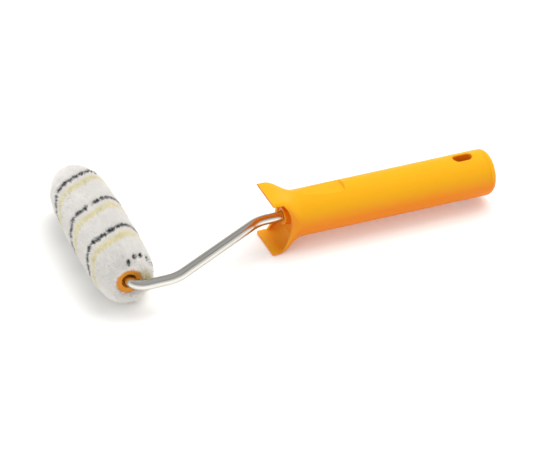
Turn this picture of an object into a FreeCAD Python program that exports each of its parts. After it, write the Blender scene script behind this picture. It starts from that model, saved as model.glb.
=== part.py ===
import FreeCAD, Part
import math
import os
import re

import Sketcher
from FreeCAD import Vector

# Mini paint roller: a bent steel wire frame in a hollow moulded handle, and a 107 mm pile
# sleeve that spins on the wire and clicks off over its tip.  Millimetres, +Z up.  The roller
# lies flat: the sleeve and the lower wing of the handle's hook both touch Z = 0.
#
# Origin: on the resting surface, in the middle of the overall length (X, from the sleeve to
# the butt of the handle) and of the overall width (Y, from the wire's elbow to the sleeve's
# far end).  The sleeve's axis runs along Y, the handle's along X, both at the same height.

# name, value, what it is
SIZES = [
    # wire frame
    ("rod_diameter", 6.0, "steel wire"),
    ("elbow_radius", 8.5, "centreline of the right angle beside the sleeve"),
    ("bend_radius", 21.0, "centreline of the two gentle bends"),
    ("diagonal_angle", 30.0, "slope of the diagonal, degrees"),
    ("near_run_length", 25.0, "sleeve axis to where the diagonal starts"),
    ("handle_offset", 35.7, "near run to handle axis"),
    ("near_gap", 8.3, "near run to the core tube's near end"),
    ("tip_gap", 10.0, "wire tip to the core tube's far end"),
    ("tip_chamfer", 0.8, "lead-in on the wire tip"),
    ("clip_groove_setback", 5.0, "wire tip to the clip groove"),
    ("clip_groove_width", 3.0, "clip groove"),
    ("clip_groove_depth", 0.5, "clip groove"),
    ("ear_rise", 0.7, "pressed ears beyond the wire's radius"),
    ("ear_thickness", 2.2, "pressed ears"),
    ("ear_length", 8.0, "pressed ears"),
    ("ear_setback", 4.0, "ears to the wire's end in the handle"),
    # handle
    ("bend_inside", 1.36, "how far the second bend reaches behind the wing tips"),
    ("handle_length", 142.5, "wing tips to the butt"),
    ("grip_front_diameter", 27.4, "grip behind the flare"),
    ("grip_butt_diameter", 27.9, "grip at the cap"),
    ("grip_wall", 2.3, "moulded wall"),
    ("wing_half_width", 13.2, "hook wings, handle axis to side"),
    ("wing_thickness", 1.7, "hook wings at their tips"),
    ("wing_flat", 4.0, "flat stretch behind the wing tips"),
    ("wing_corner", 2.2, "outer corner radius at the wing tips"),
    ("flare_length", 15.0, "wing flat to the round grip"),
    ("gap_straight", 6.0, "straight sides of the hook's side gap"),
    ("gap_depth", 12.0, "wing tips to the bottom of the side gap"),
    ("bowl_depth", 14.0, "wing tips to the bowl's floor"),
    ("bowl_floor_half_width", 9.0, "bowl floor"),
    ("bowl_floor_half_height", 9.6, "bowl floor"),
    ("bowl_corner", 6.0, "corner radius of the bowl's floor"),
    ("bulkhead", 3.0, "wall between the bowl and the hollow grip"),
    ("socket_wall", 2.2, "boss that holds the wire"),
    ("socket_front", 10.4, "wing tips to the boss's front face"),
    ("socket_length", 48.0, "length of the boss"),
    ("socket_clearance", 0.02, "round the wire and its ears"),
    ("socket_chamfer", 0.8, "lead-in at the boss's mouth"),
    ("rod_end_gap", 2.0, "wire's end to the end of the boss"),
    ("rib_thickness", 1.6, "cross ribs round the boss"),
    ("rib_overlap", 0.7, "how far ribs and tunnel run into the wall"),
    ("thumb_start", 22.5, "wing tips to the start of the thumb rest"),
    ("thumb_run_in", 16.0, "length over which the thumb rest sinks"),
    ("thumb_end", 48.2, "wing tips to the step that ends the thumb rest"),
    ("thumb_depth", 1.1, "thumb rest at its middle"),
    ("thumb_centre_drop", 60.0, "handle axis to the centre of the thumb rest's curve"),
    ("slot_setback", 18.3, "hanging slot's middle to the butt"),
    ("slot_length", 11.6, "hanging slot"),
    ("slot_width", 6.3, "hanging slot"),
    ("slot_wall", 1.5, "tunnel wall round the hanging slot"),
    ("slot_rim_radius", 0.9, "rounded rim of the hanging slot"),
    # butt cap
    ("cap_length", 5.0, "part of the cap that shows"),
    ("cap_crown", 0.6, "bulge of the cap's end face"),
    ("cap_wall", 2.2, "cap"),
    ("cap_spigot_length", 4.6, "spigot inside the grip"),
    ("cap_spigot_wall", 1.6, "spigot"),
    ("cap_clearance", 0.05, "spigot in the grip"),
    ("seam_chamfer", 0.15, "edges that meet at the cap's seam"),
    # sleeve
    ("core_length", 107.0, "core tube"),
    ("core_diameter", 15.0, "core tube, outside"),
    ("core_wall", 1.2, "core tube"),
    ("backing_thickness", 0.8, "knitted backing"),
    ("pile_height", 9.2, "pile, backing to tips"),
    ("near_overhang", 3.5, "pile beyond the core tube's near end"),
    ("far_overhang", 2.3, "pile beyond the core tube's far end"),
    ("near_rim", 2.9, "flat rim of the pile's near end, inside its rounding"),
    ("near_rounding", 26.0, "pile edge radius, near end"),
    ("far_rounding", 33.0, "pile edge radius, far end"),
    ("bush_flange", 1.5, "near bush flange"),
    ("bush_flange_rise", 0.3, "near bush flange beyond the core tube's radius"),
    ("bush_pile_gap", 0.3, "flange to the pile round it"),
    ("bush_spigot", 9.0, "near bush inside the core tube"),
    ("bush_mouth_gap", 1.3, "dished mouth round the wire, radial"),
    ("bush_mouth_depth", 3.0, "dished mouth"),
    ("running_clearance", 0.05, "radial, wire in its bushes"),
    ("plug_flange", 1.2, "far plug flange"),
    ("plug_flange_rise", 0.5, "far plug flange beyond the core tube's radius"),
    ("plug_spigot", 7.0, "far plug inside the core tube"),
    ("plug_wall", 1.2, "far plug"),
    # click bearing near the wire's tip
    ("clip_root_length", 9.5, "solid end of the clip bush"),
    ("clip_finger_length", 5.5, "slit end of the clip bush"),
    ("clip_wall_share", 0.44, "of the space between wire and core tube"),
    ("clip_slit_width", 1.2, "slits between the fingers"),
    ("clip_slit_count", 4.0, "slits between the fingers"),
    ("clip_lip_play", 0.1, "each side of the lip in the wire's groove"),
    ("collar_height_share", 0.21, "of the space between wire and core tube"),
    ("collar_width", 2.0, "clip bush collar"),
    ("collar_setback", 3.4, "collar to the root's end"),
    ("collar_play", 0.1, "each side of the collar in its seat"),
    ("seat_length", 8.0, "seat that the clip bush turns in"),
]
NAMES = [row[0] for row in SIZES]

# Sizes that follow from the driving ones.
ROD_R = "(rod_diameter / 2)"
CORE_R = "(core_diameter / 2)"
CORE_BORE_R = "(core_diameter / 2 - core_wall)"
BACKING_R = "(core_diameter / 2 + backing_thickness)"
PILE_R = "(core_diameter / 2 + backing_thickness + pile_height)"
FLANGE_R = "(core_diameter / 2 + bush_flange_rise)"
WING_HALF_HEIGHT = PILE_R
BEND_TANGENT = "(bend_radius * tan(diagonal_angle / 2))"
BEND_X = "(near_run_length + handle_offset / tan(diagonal_angle))"
HANDLE_FRONT = f"({BEND_X} + {BEND_TANGENT} - bend_inside)"
REACH = f"({HANDLE_FRONT} + handle_length)"
GRIP_LENGTH = "(handle_length - cap_length)"
FRONT_R = "(grip_front_diameter / 2)"
BUTT_R = "(grip_butt_diameter / 2)"
FRONT_BORE_R = "(grip_front_diameter / 2 - grip_wall)"
BUTT_BORE_R = "(grip_butt_diameter / 2 - grip_wall)"
FLARE_END = "(wing_flat + flare_length)"
SLOT_X = "(handle_length - slot_setback)"
TIP_FROM_CORE = "(core_length - tip_gap)"
RUN_LENGTH = "(core_length - tip_gap + near_gap)"
ROD_END = f"({HANDLE_FRONT} + socket_front + socket_length - rod_end_gap)"
EAR_HALF_WIDTH = "(rod_diameter / 2 + ear_rise)"

# Places of the sleeve and the handle in the part's own frame.
ROLLER_X = f"(({PILE_R} - {REACH}) / 2)"
SLEEVE_Y = "((near_gap + rod_diameter / 2 - core_length - far_overhang) / 2)"
HANDLE_X = f"({ROLLER_X} + {HANDLE_FRONT})"
HANDLE_Y = f"({SLEEVE_Y} - near_gap + handle_offset)"
TIP_Y = f"({SLEEVE_Y} + {TIP_FROM_CORE})"

doc = FreeCAD.newDocument("mini_paint_roller")
sheet = doc.addObject("Spreadsheet::Sheet", "sizes")
for row, (name, size, note) in enumerate(SIZES, start=1):
    sheet.set(f"A{row}", note)
    sheet.set(f"B{row}", str(size))
    sheet.setAlias(f"B{row}", name)
doc.recompute()


def value(text):
    """Number that an expression in the sheet's names stands for."""
    return float(sheet.evalExpression(str(text)))


def bound(text):
    """The same expression as other objects have to write it."""
    return re.sub(r"[a-z_]+", lambda m: "sizes." + m[0] if m[0] in NAMES else m[0], str(text))


def new_body(label, x, y, z):
    body = doc.addObject("PartDesign::Body", label)
    body.Label = label
    for axis, place in (("x", x), ("y", y), ("z", z)):
        body.setExpression(f"Placement.Base.{axis}", bound(place))
    return body


def new_sketch(body, name, plane, offset=None):
    """Sketch on one of the body's own origin planes, moved along its normal by offset."""
    sketch = body.newObject("Sketcher::SketchObject", name)
    origin_plane = [item for item in body.Origin.OriginFeatures if item.Role == plane][0]
    sketch.AttachmentSupport = [(origin_plane, "")]
    sketch.MapMode = "FlatFace"
    if offset is not None:
        sketch.setExpression("AttachmentOffset.Base.z", bound(offset))
    return sketch


def tie(sketch, kind, where, size):
    """Dimension constraint that follows an expression.  A zero lies on the axis instead."""
    number = value(size)
    if kind in ("DistanceX", "DistanceY") and abs(number) < 1e-9:
        axis = -2 if kind == "DistanceX" else -1
        sketch.addConstraint(Sketcher.Constraint("PointOnObject", *where, axis))
        return
    start = (-1, 1) if kind in ("DistanceX", "DistanceY") else ()
    index = sketch.addConstraint(Sketcher.Constraint(kind, *start, *where, number))
    sketch.setExpression(f"Constraints[{index}]", bound(size))


def arc_between(start, end, radius, turn):
    """Shorter arc from start to end, and which of its ends is the start (turn 1 is left)."""
    chord = end - start
    sagitta_leg = math.sqrt(max(radius**2 - (chord.Length / 2)**2, 0))
    side = Vector(-chord.y, chord.x, 0).normalize() * turn
    centre = (start + end) * 0.5 + side * sagitta_leg
    first, last = (start, end) if turn > 0 else (end, start)
    angles = [math.atan2(p.y - centre.y, p.x - centre.x) for p in (first, last)]
    if angles[1] < angles[0]:
        angles[1] += 2 * math.pi
    circle = Part.Circle(centre, Vector(0, 0, 1), radius)
    return Part.ArcOfCircle(circle, *angles), (1, 2) if turn > 0 else (2, 1)


def outline(sketch, points, arcs=None, closed=True):
    """Lines through points given as expressions.  arcs: edge number -> (radius, turn)."""
    arcs = arcs or {}
    places = [Vector(value(x), value(y), 0) for x, y in points]
    edge_count = len(points) if closed else len(points) - 1
    ends = []
    for number in range(edge_count):
        start, end = places[number], places[(number + 1) % len(points)]
        if number in arcs:
            radius, turn = arcs[number]
            curve, order = arc_between(start, end, value(radius), turn)
        else:
            curve, order = Part.LineSegment(start, end), (1, 2)
        index = sketch.addGeometry(curve, False)
        ends.append(((index, order[0]), (index, order[1])))
    for number in range(edge_count if closed else edge_count - 1):
        following = ends[(number + 1) % edge_count]
        sketch.addConstraint(Sketcher.Constraint("Coincident", *ends[number][1], *following[0]))
    for number, (x, y) in enumerate(points):
        where = ends[number][0] if number < edge_count else ends[-1][1]
        tie(sketch, "DistanceX", where, x)
        tie(sketch, "DistanceY", where, y)
    for number, (radius, _) in arcs.items():
        tie(sketch, "Radius", (ends[number][0][0],), radius)
    return sketch


def rounded_box(sketch, half_width, half_height, corner):
    """Rectangle about the sketch's origin with round corners."""
    w, h, r = half_width, half_height, corner
    points = [(w, f"-({h} - {r})"), (w, f"{h} - {r}"), (f"{w} - {r}", h), (f"-({w} - {r})", h),
              (f"-{w}", f"{h} - {r}"), (f"-{w}", f"-({h} - {r})"), (f"-({w} - {r})", f"-{h}"),
              (f"{w} - {r}", f"-{h}")]
    return outline(sketch, points, {edge: (r, 1) for edge in (1, 3, 5, 7)})


def oval(sketch, middle_x, length, width):
    """Slot along the sketch's X axis with round ends."""
    leg = f"({length} - {width}) / 2"
    left, right = f"{middle_x} - {leg}", f"{middle_x} + {leg}"
    half = f"{width} / 2"
    points = [(left, f"-{half}"), (right, f"-{half}"), (f"{middle_x} + {length} / 2", "0"),
              (right, half), (left, half), (f"{middle_x} - {length} / 2", "0")]
    return outline(sketch, points, {edge: (half, 1) for edge in (1, 2, 4, 5)})


def feature(body, kind, name, sketch, **settings):
    item = body.newObject("PartDesign::" + kind, name)
    item.Profile = (sketch, [""])
    for key, setting in settings.items():
        setattr(item, key, setting)
    return item


def turned(body, kind, name, points, arcs=None, axis="V_Axis"):
    """Revolution or Groove of an outline in the body's XY plane."""
    sketch = outline(new_sketch(body, name + "_outline", "XY_Plane"), points, arcs)
    return feature(body, kind, name, sketch, ReferenceAxis=(sketch, [axis]), Angle=360)


def extruded(body, kind, name, sketch, length, both_ways=False):
    item = feature(body, kind, name, sketch)
    item.SideType = "Symmetric" if both_ways else "One side"
    item.setExpression("Length", bound(length))
    return item


def cut_volume(body, item, before, what):
    """A cut that misses the solid shows no error, so its volume is compared."""
    doc.recompute()
    if body.Shape.Volume > before - 0.5:
        raise RuntimeError(f"{body.Label}: {what} removed nothing")
    return item


# ---------------------------------------------------------------- wire frame

def make_frame_rod():
    """One length of wire: through the sleeve, round the elbow, along the diagonal, into
    the handle.  Local origin at the tip, sleeve axis along Y."""
    body = new_body("frame_rod", ROLLER_X, TIP_Y, PILE_R)
    tangent, corner_x = BEND_TANGENT, BEND_X
    run_y, handle_y = f"-{RUN_LENGTH}", f"(handle_offset - {RUN_LENGTH})"
    points = [
        ("0", "0"),
        ("0", f"{run_y} + elbow_radius"),
        ("elbow_radius", run_y),
        (f"near_run_length - {tangent}", run_y),
        (f"near_run_length + {tangent} * cos(diagonal_angle)",
         f"{run_y} + {tangent} * sin(diagonal_angle)"),
        (f"{corner_x} - {tangent} * cos(diagonal_angle)",
         f"{handle_y} - {tangent} * sin(diagonal_angle)"),
        (f"{corner_x} + {tangent}", handle_y),
        (ROD_END, handle_y),
    ]
    bends = {1: ("elbow_radius", 1), 3: ("bend_radius", 1), 5: ("bend_radius", -1)}
    path = outline(new_sketch(body, "wire_path", "XY_Plane"), points, bends, closed=False)
    section = new_sketch(body, "wire_section", "XZ_Plane")
    section.addGeometry(Part.Circle(Vector(0, 0, 0), Vector(0, 0, 1), value(ROD_R)), False)
    section.addConstraint(Sketcher.Constraint("Coincident", 0, 3, -1, 1))
    tie(section, "Radius", (0,), ROD_R)
    doc.recompute()
    wire = feature(body, "AdditivePipe", "wire", section, Spine=(path, [""]))
    doc.recompute()
    expected = path.Shape.Length * math.pi * value(ROD_R)**2
    if abs(wire.Shape.Volume / expected - 1) > 0.001:
        raise RuntimeError("frame_rod: the wire's volume isn't its section times its length")

    ears = outline(new_sketch(body, "ear_outline", "XY_Plane"), [
        (f"{ROD_END} - ear_setback - ear_length", f"{handle_y} - {EAR_HALF_WIDTH}"),
        (f"{ROD_END} - ear_setback", f"{handle_y} - {EAR_HALF_WIDTH}"),
        (f"{ROD_END} - ear_setback", f"{handle_y} + {EAR_HALF_WIDTH}"),
        (f"{ROD_END} - ear_setback - ear_length", f"{handle_y} + {EAR_HALF_WIDTH}")])
    extruded(body, "Pad", "pressed_ears", ears, "ear_thickness", both_ways=True)
    doc.recompute()

    before = body.Shape.Volume
    groove_start = "(-clip_groove_setback)"
    groove_end = "(-clip_groove_setback - clip_groove_width)"
    groove = turned(body, "Groove", "clip_groove", [
        (f"{ROD_R} - clip_groove_depth", groove_end),
        (f"{ROD_R} + 1", groove_end),
        (f"{ROD_R} + 1", groove_start),
        (f"{ROD_R} - clip_groove_depth", groove_start)])
    cut_volume(body, groove, before, "clip groove")
    before = body.Shape.Volume
    lead_in = turned(body, "Groove", "tip_lead_in", [
        (f"{ROD_R} - tip_chamfer", "0"), (ROD_R, "-tip_chamfer"),
        (f"{ROD_R} + 1", "-tip_chamfer"), (f"{ROD_R} + 1", "1"),
        (f"{ROD_R} - tip_chamfer", "1")])
    cut_volume(body, lead_in, before, "tip chamfer")
    return body


# ---------------------------------------------------------------- handle

def flare_section(body, number, share):
    """Section of the flare, from the wings' flat (share 0) to the round grip (share 1).
    Its sides change slowly at both ends, so that it meets both without a corner."""
    ease = share * share * (3 - 2 * share)
    round_r = f"({FRONT_R} - 0.1)"
    half_width = f"(wing_half_width + ({round_r} - wing_half_width) * {ease:.4f})"
    half_height = f"({WING_HALF_HEIGHT} + ({round_r} - {WING_HALF_HEIGHT}) * {ease:.4f})"
    corner = f"(wing_corner + ({round_r} - 0.4 - wing_corner) * {ease:.4f})"
    sketch = new_sketch(body, f"flare_section_{number}", "YZ_Plane",
                        f"wing_flat + flare_length * {share}")
    return rounded_box(sketch, half_width, half_height, corner)


def rim_edges(shape, middle_x, length, width):
    """Edges round both outer mouths of a slot that goes through the grip along Z, in the
    body's own axes."""
    local = shape.copy()
    local.Placement = FreeCAD.Placement()
    names = []
    for number, edge in enumerate(local.Edges, start=1):
        box = edge.BoundBox
        near = abs(edge.CenterOfMass.x - middle_x) <= length / 2 + 0.1
        slim = max(abs(box.YMin), abs(box.YMax)) <= width / 2 + 0.1
        flat = box.ZLength < 2 and box.XLength + box.YLength > 1
        if near and slim and flat and abs(edge.CenterOfMass.z) > value(BUTT_BORE_R) + 0.9:
            names.append(f"Edge{number}")
    return names


def make_handle_body():
    """Hollow moulded grip, open at the butt, with a flared front whose two wings hook over
    a bucket's rim.  Local origin at the wing tips on the handle's axis, +X to the butt."""
    body = new_body("handle_body", HANDLE_X, HANDLE_Y, PILE_R)
    hollow_start = "(bowl_depth + bulkhead)"
    rib_reach = f"({FRONT_BORE_R} + rib_overlap)"
    tunnel_reach = f"({BUTT_BORE_R} + rib_overlap)"

    # outside: wings, flare, grip
    wings = rounded_box(new_sketch(body, "wing_section", "YZ_Plane", "0"),
                        "wing_half_width", WING_HALF_HEIGHT, "wing_corner")
    extruded(body, "Pad", "wings", wings, "wing_flat")
    sections = [flare_section(body, number, number / 4) for number in range(5)]
    feature(body, "AdditiveLoft", "flare", sections[0], Sections=sections[1:])
    turned(body, "Revolution", "grip", [
        (f"{FLARE_END} - 1", "0"), (f"{FLARE_END} - 1", f"{FRONT_R} - 0.2"),
        (FLARE_END, FRONT_R),
        (f"{GRIP_LENGTH} - seam_chamfer", BUTT_R),
        (GRIP_LENGTH, f"{BUTT_R} - seam_chamfer"), (GRIP_LENGTH, "0")], axis="H_Axis")
    doc.recompute()

    # inside: bowl, side gap, hollow
    bowl_w = "(wing_half_width - wing_thickness)"
    bowl_h = f"({WING_HALF_HEIGHT} - wing_thickness)"
    before = body.Shape.Volume
    mouth = rounded_box(new_sketch(body, "bowl_mouth", "YZ_Plane", "0"), bowl_w, bowl_h, "1")
    cut = extruded(body, "Pocket", "bowl_front", mouth, "gap_straight")
    cut.Reversed = True
    cut_volume(body, cut, before, "bowl front")
    before = body.Shape.Volume
    sections = []
    for number, share in enumerate((0, 0.35, 0.7, 1)):
        ease = 1 - math.sqrt(1 - share**2)
        depth = f"gap_straight + (bowl_depth - gap_straight) * {share}"
        sketch = new_sketch(body, f"bowl_section_{number}", "YZ_Plane", depth)
        sections.append(rounded_box(
            sketch, f"({bowl_w} + (bowl_floor_half_width - {bowl_w}) * {ease:.4f})",
            f"({bowl_h} + (bowl_floor_half_height - {bowl_h}) * {ease:.4f})",
            f"(1 + (bowl_corner - 1) * {ease:.4f})"))
    cut = feature(body, "SubtractiveLoft", "bowl", sections[0], Sections=sections[1:])
    cut_volume(body, cut, before, "bowl")

    before = body.Shape.Volume
    gap_arc = f"(({bowl_h}^2 + (gap_depth - gap_straight)^2) / (2 * (gap_depth - gap_straight)))"
    gap = outline(new_sketch(body, "side_gap_outline", "XZ_Plane"), [
        ("-1", f"-{bowl_h}"), ("gap_straight", f"-{bowl_h}"), ("gap_depth", "0"),
        ("gap_straight", bowl_h), ("-1", bowl_h)], {1: (gap_arc, 1), 2: (gap_arc, 1)})
    cut = extruded(body, "Pocket", "side_gap", gap, "4 * wing_half_width", both_ways=True)
    cut_volume(body, cut, before, "side gap")

    before = body.Shape.Volume
    cut = turned(body, "Groove", "hollow", [
        (hollow_start, "0"), (hollow_start, FRONT_BORE_R),
        (f"{GRIP_LENGTH} - cap_spigot_length", BUTT_BORE_R),
        (f"{GRIP_LENGTH} + 1", BUTT_BORE_R), (f"{GRIP_LENGTH} + 1", "0")], axis="H_Axis")
    cut_volume(body, cut, before, "hollow")

    # inside the hollow: boss for the wire, cross ribs, tunnel of the hanging slot
    boss_r = f"({ROD_R} + socket_wall)"
    boss_end = "(socket_front + socket_length)"
    turned(body, "Revolution", "socket_boss", [
        ("socket_front", "0"), ("socket_front", f"{boss_r} - socket_chamfer / 2"),
        ("socket_front + socket_chamfer / 2", boss_r), (boss_end, boss_r), (boss_end, "0")],
        axis="H_Axis")
    arm, half = rib_reach, "(rib_thickness / 2)"
    ribs = outline(new_sketch(body, "rib_section", "YZ_Plane", f"{hollow_start} - 0.5"), [
        (arm, f"-{half}"), (arm, half), (half, half), (half, arm), (f"-{half}", arm),
        (f"-{half}", half), (f"-{arm}", half), (f"-{arm}", f"-{half}"),
        (f"-{half}", f"-{half}"), (f"-{half}", f"-{arm}"), (half, f"-{arm}"),
        (half, f"-{half}")])
    extruded(body, "Pad", "ribs", ribs, f"{boss_end} - {hollow_start}")
    tunnel = oval(new_sketch(body, "tunnel_outline", "XY_Plane"), SLOT_X,
                  "(slot_length + 2 * slot_wall)", "(slot_width + 2 * slot_wall)")
    extruded(body, "Pad", "slot_tunnel", tunnel, f"2 * {tunnel_reach}", both_ways=True)
    doc.recompute()

    # cuts through what was added
    before = body.Shape.Volume
    bore_r = f"({ROD_R} + socket_clearance)"
    cut = turned(body, "Groove", "wire_socket", [
        ("socket_front - 1", "0"), ("socket_front - 1", f"{bore_r} + socket_chamfer"),
        ("socket_front", f"{bore_r} + socket_chamfer"),
        ("socket_front + socket_chamfer", bore_r), (f"{boss_end} + 1", bore_r),
        (f"{boss_end} + 1", "0")], axis="H_Axis")
    cut_volume(body, cut, before, "wire socket")
    before = body.Shape.Volume
    ear_y = f"({EAR_HALF_WIDTH} + socket_clearance)"
    ear_z = "(ear_thickness / 2 + socket_clearance)"
    slots = outline(new_sketch(body, "ear_slot_section", "YZ_Plane", "socket_front - 1"), [
        (ear_y, f"-{ear_z}"), (ear_y, ear_z), (f"-{ear_y}", ear_z), (f"-{ear_y}", f"-{ear_z}")])
    cut = extruded(body, "Pocket", "ear_slots", slots, "socket_length + 2")
    cut.Reversed = True
    cut_volume(body, cut, before, "ear slots")
    before = body.Shape.Volume
    slot = oval(new_sketch(body, "slot_outline", "XY_Plane"), SLOT_X, "slot_length",
                "slot_width")
    cut = extruded(body, "Pocket", "hanging_slot", slot, "2 * grip_butt_diameter",
                   both_ways=True)
    cut_volume(body, cut, before, "hanging slot")

    before = body.Shape.Volume
    rim = rim_edges(body.Shape, value(SLOT_X), value("slot_length"), value("slot_width"))
    round_rim = body.newObject("PartDesign::Fillet", "slot_rim")
    round_rim.Base = (cut, rim)
    round_rim.setExpression("Radius", bound("slot_rim_radius"))
    cut_volume(body, round_rim, before, "slot rim")

    before = body.Shape.Volume
    rest_r = f"({FRONT_R} - thumb_depth + thumb_centre_drop)"
    drop = "(-thumb_centre_drop)"
    sketch = outline(new_sketch(body, "thumb_rest_outline", "XZ_Plane"), [
        ("thumb_start", f"{rest_r} + 0.9 + {drop}"),
        ("thumb_start + thumb_run_in", f"{rest_r} + {drop}"),
        ("thumb_end - thumb_depth", f"{rest_r} + {drop}"),
        ("thumb_end + 1", f"{rest_r} + thumb_depth + 1 + {drop}"),
        ("thumb_end + 1", f"{rest_r} + 4 + {drop}"), ("thumb_start", f"{rest_r} + 4 + {drop}")])
    axis_line = sketch.addGeometry(
        Part.LineSegment(Vector(0, value(drop), 0), Vector(10, value(drop), 0)), True)
    tie(sketch, "DistanceX", (axis_line, 1), "0")
    tie(sketch, "DistanceY", (axis_line, 1), drop)
    tie(sketch, "DistanceX", (axis_line, 2), "10")
    tie(sketch, "DistanceY", (axis_line, 2), drop)
    cut = feature(body, "Groove", "thumb_rest", sketch, ReferenceAxis=(sketch, ["Axis0"]),
                  Angle=360)
    cut_volume(body, cut, before, "thumb rest")
    return body


def make_handle_end_cap():
    """Domed plug in the open butt.  Local origin at the seam on the handle's axis."""
    body = new_body("handle_end_cap", f"{HANDLE_X} + {GRIP_LENGTH}", HANDLE_Y, PILE_R)
    edge = "(cap_length - cap_crown)"
    flat_r = f"({BUTT_R} - {edge})"
    crown_r = f"(({flat_r}^2 + cap_crown^2) / (2 * cap_crown))"
    spigot_r = f"({BUTT_BORE_R} - cap_clearance)"
    turned(body, "Revolution", "cap", [
        ("cap_length", "0"), ("cap_length - cap_wall", "0"),
        ("cap_length - cap_wall", f"{flat_r} - 1"), ("0.6", f"{spigot_r} - cap_spigot_wall"),
        ("-cap_spigot_length", f"{spigot_r} - cap_spigot_wall"),
        ("-cap_spigot_length", f"{spigot_r} - 0.4"), ("0.4 - cap_spigot_length", spigot_r),
        ("0", spigot_r), ("0", f"{BUTT_R} - seam_chamfer"), ("seam_chamfer", BUTT_R),
        (edge, flat_r)],
        {9: (f"({edge} - seam_chamfer) * 1.02", -1), 10: (crown_r, -1)}, axis="H_Axis")
    return body


# ---------------------------------------------------------------- sleeve

def sleeve_body(label):
    """Body whose local origin is the core tube's near end on the sleeve's axis."""
    return new_body(label, ROLLER_X, SLEEVE_Y, PILE_R)


def make_core_tube():
    body = sleeve_body("core_tube")
    turned(body, "Revolution", "tube", [
        (CORE_BORE_R, "0"), (CORE_R, "0"), (CORE_R, "core_length"),
        (CORE_BORE_R, "core_length")])
    return body


def make_near_bush():
    """Flanged bush at the elbow's end, with a dished mouth round the wire."""
    body = sleeve_body("near_bush")
    bore_r = f"({ROD_R} + running_clearance)"
    mouth_r = f"({ROD_R} + bush_mouth_gap)"
    turned(body, "Revolution", "bush", [
        (mouth_r, "-bush_flange"), (f"{FLANGE_R} - 0.4", "-bush_flange"),
        (FLANGE_R, "0.4 - bush_flange"), (FLANGE_R, "0"), (CORE_BORE_R, "0"),
        (CORE_BORE_R, "bush_spigot - 0.5"), (f"{CORE_BORE_R} - 0.5", "bush_spigot"),
        (bore_r, "bush_spigot"), (bore_r, "bush_mouth_depth - bush_flange"),
        (f"{mouth_r} - 0.5", "bush_mouth_depth - bush_flange")])
    return body


def make_core_end_plug():
    """Closed cup in the far end of the core tube."""
    body = sleeve_body("core_end_plug")
    flange_r = f"({CORE_R} + plug_flange_rise)"
    turned(body, "Revolution", "plug", [
        ("0", "core_length + plug_flange"), ("0", "core_length + plug_flange - plug_wall"),
        (f"{CORE_BORE_R} - plug_wall", "core_length + plug_flange - plug_wall"),
        (f"{CORE_BORE_R} - plug_wall", "core_length - plug_spigot"),
        (f"{CORE_BORE_R} - 0.4", "core_length - plug_spigot"),
        (CORE_BORE_R, "core_length - plug_spigot + 0.4"), (CORE_BORE_R, "core_length"),
        (flange_r, "core_length"), (flange_r, "core_length + plug_flange - 0.4"),
        (f"{flange_r} - 0.4", "core_length + plug_flange")])
    return body


def make_fabric_backing():
    """Knitted base cloth that carries the pile, glued round the core tube."""
    body = sleeve_body("fabric_backing")
    turned(body, "Revolution", "backing", [
        (CORE_R, "0"), (BACKING_R, "0"), (BACKING_R, "core_length"), (CORE_R, "core_length")])
    return body


def make_pile_sleeve():
    """Plain closed form of the pile: it stands past both ends and is rounded there."""
    body = sleeve_body("pile_sleeve")
    near_opening = f"({FLANGE_R} + bush_pile_gap)"
    near_arc_x = f"({near_opening} + near_rim - ({PILE_R} - near_rounding))"
    near_rise = f"(sqrt(near_rounding^2 - {near_arc_x}^2))"
    far_end = "(core_length + far_overhang)"
    far_arc_x = f"({BACKING_R} - ({PILE_R} - far_rounding))"
    far_rise = f"(sqrt(far_rounding^2 - {far_arc_x}^2))"
    turned(body, "Revolution", "pile", [
        (BACKING_R, "0"), (near_opening, "0"), (near_opening, "-near_overhang"),
        (f"{near_opening} + near_rim", "-near_overhang"),
        (PILE_R, f"{near_rise} - near_overhang"), (PILE_R, f"{far_end} - {far_rise}"),
        (BACKING_R, far_end)],
        {3: ("near_rounding", 1), 5: ("far_rounding", 1)})
    return body


# ---------------------------------------------------------------- click bearing

CLIP_BORE_R = f"({ROD_R} + running_clearance)"
CLIP_SPACE = f"({CORE_BORE_R} - {ROD_R})"
CLIP_R = f"({CLIP_BORE_R} + clip_wall_share * {CLIP_SPACE})"
COLLAR_HEIGHT = f"(collar_height_share * {CLIP_SPACE})"
CLIP_LENGTH = "(clip_root_length + clip_finger_length)"
# wire tip to the fingers' ends: the lip sits in the wire's groove
CLIP_SETBACK = "(clip_groove_setback - 1.4)"


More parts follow.
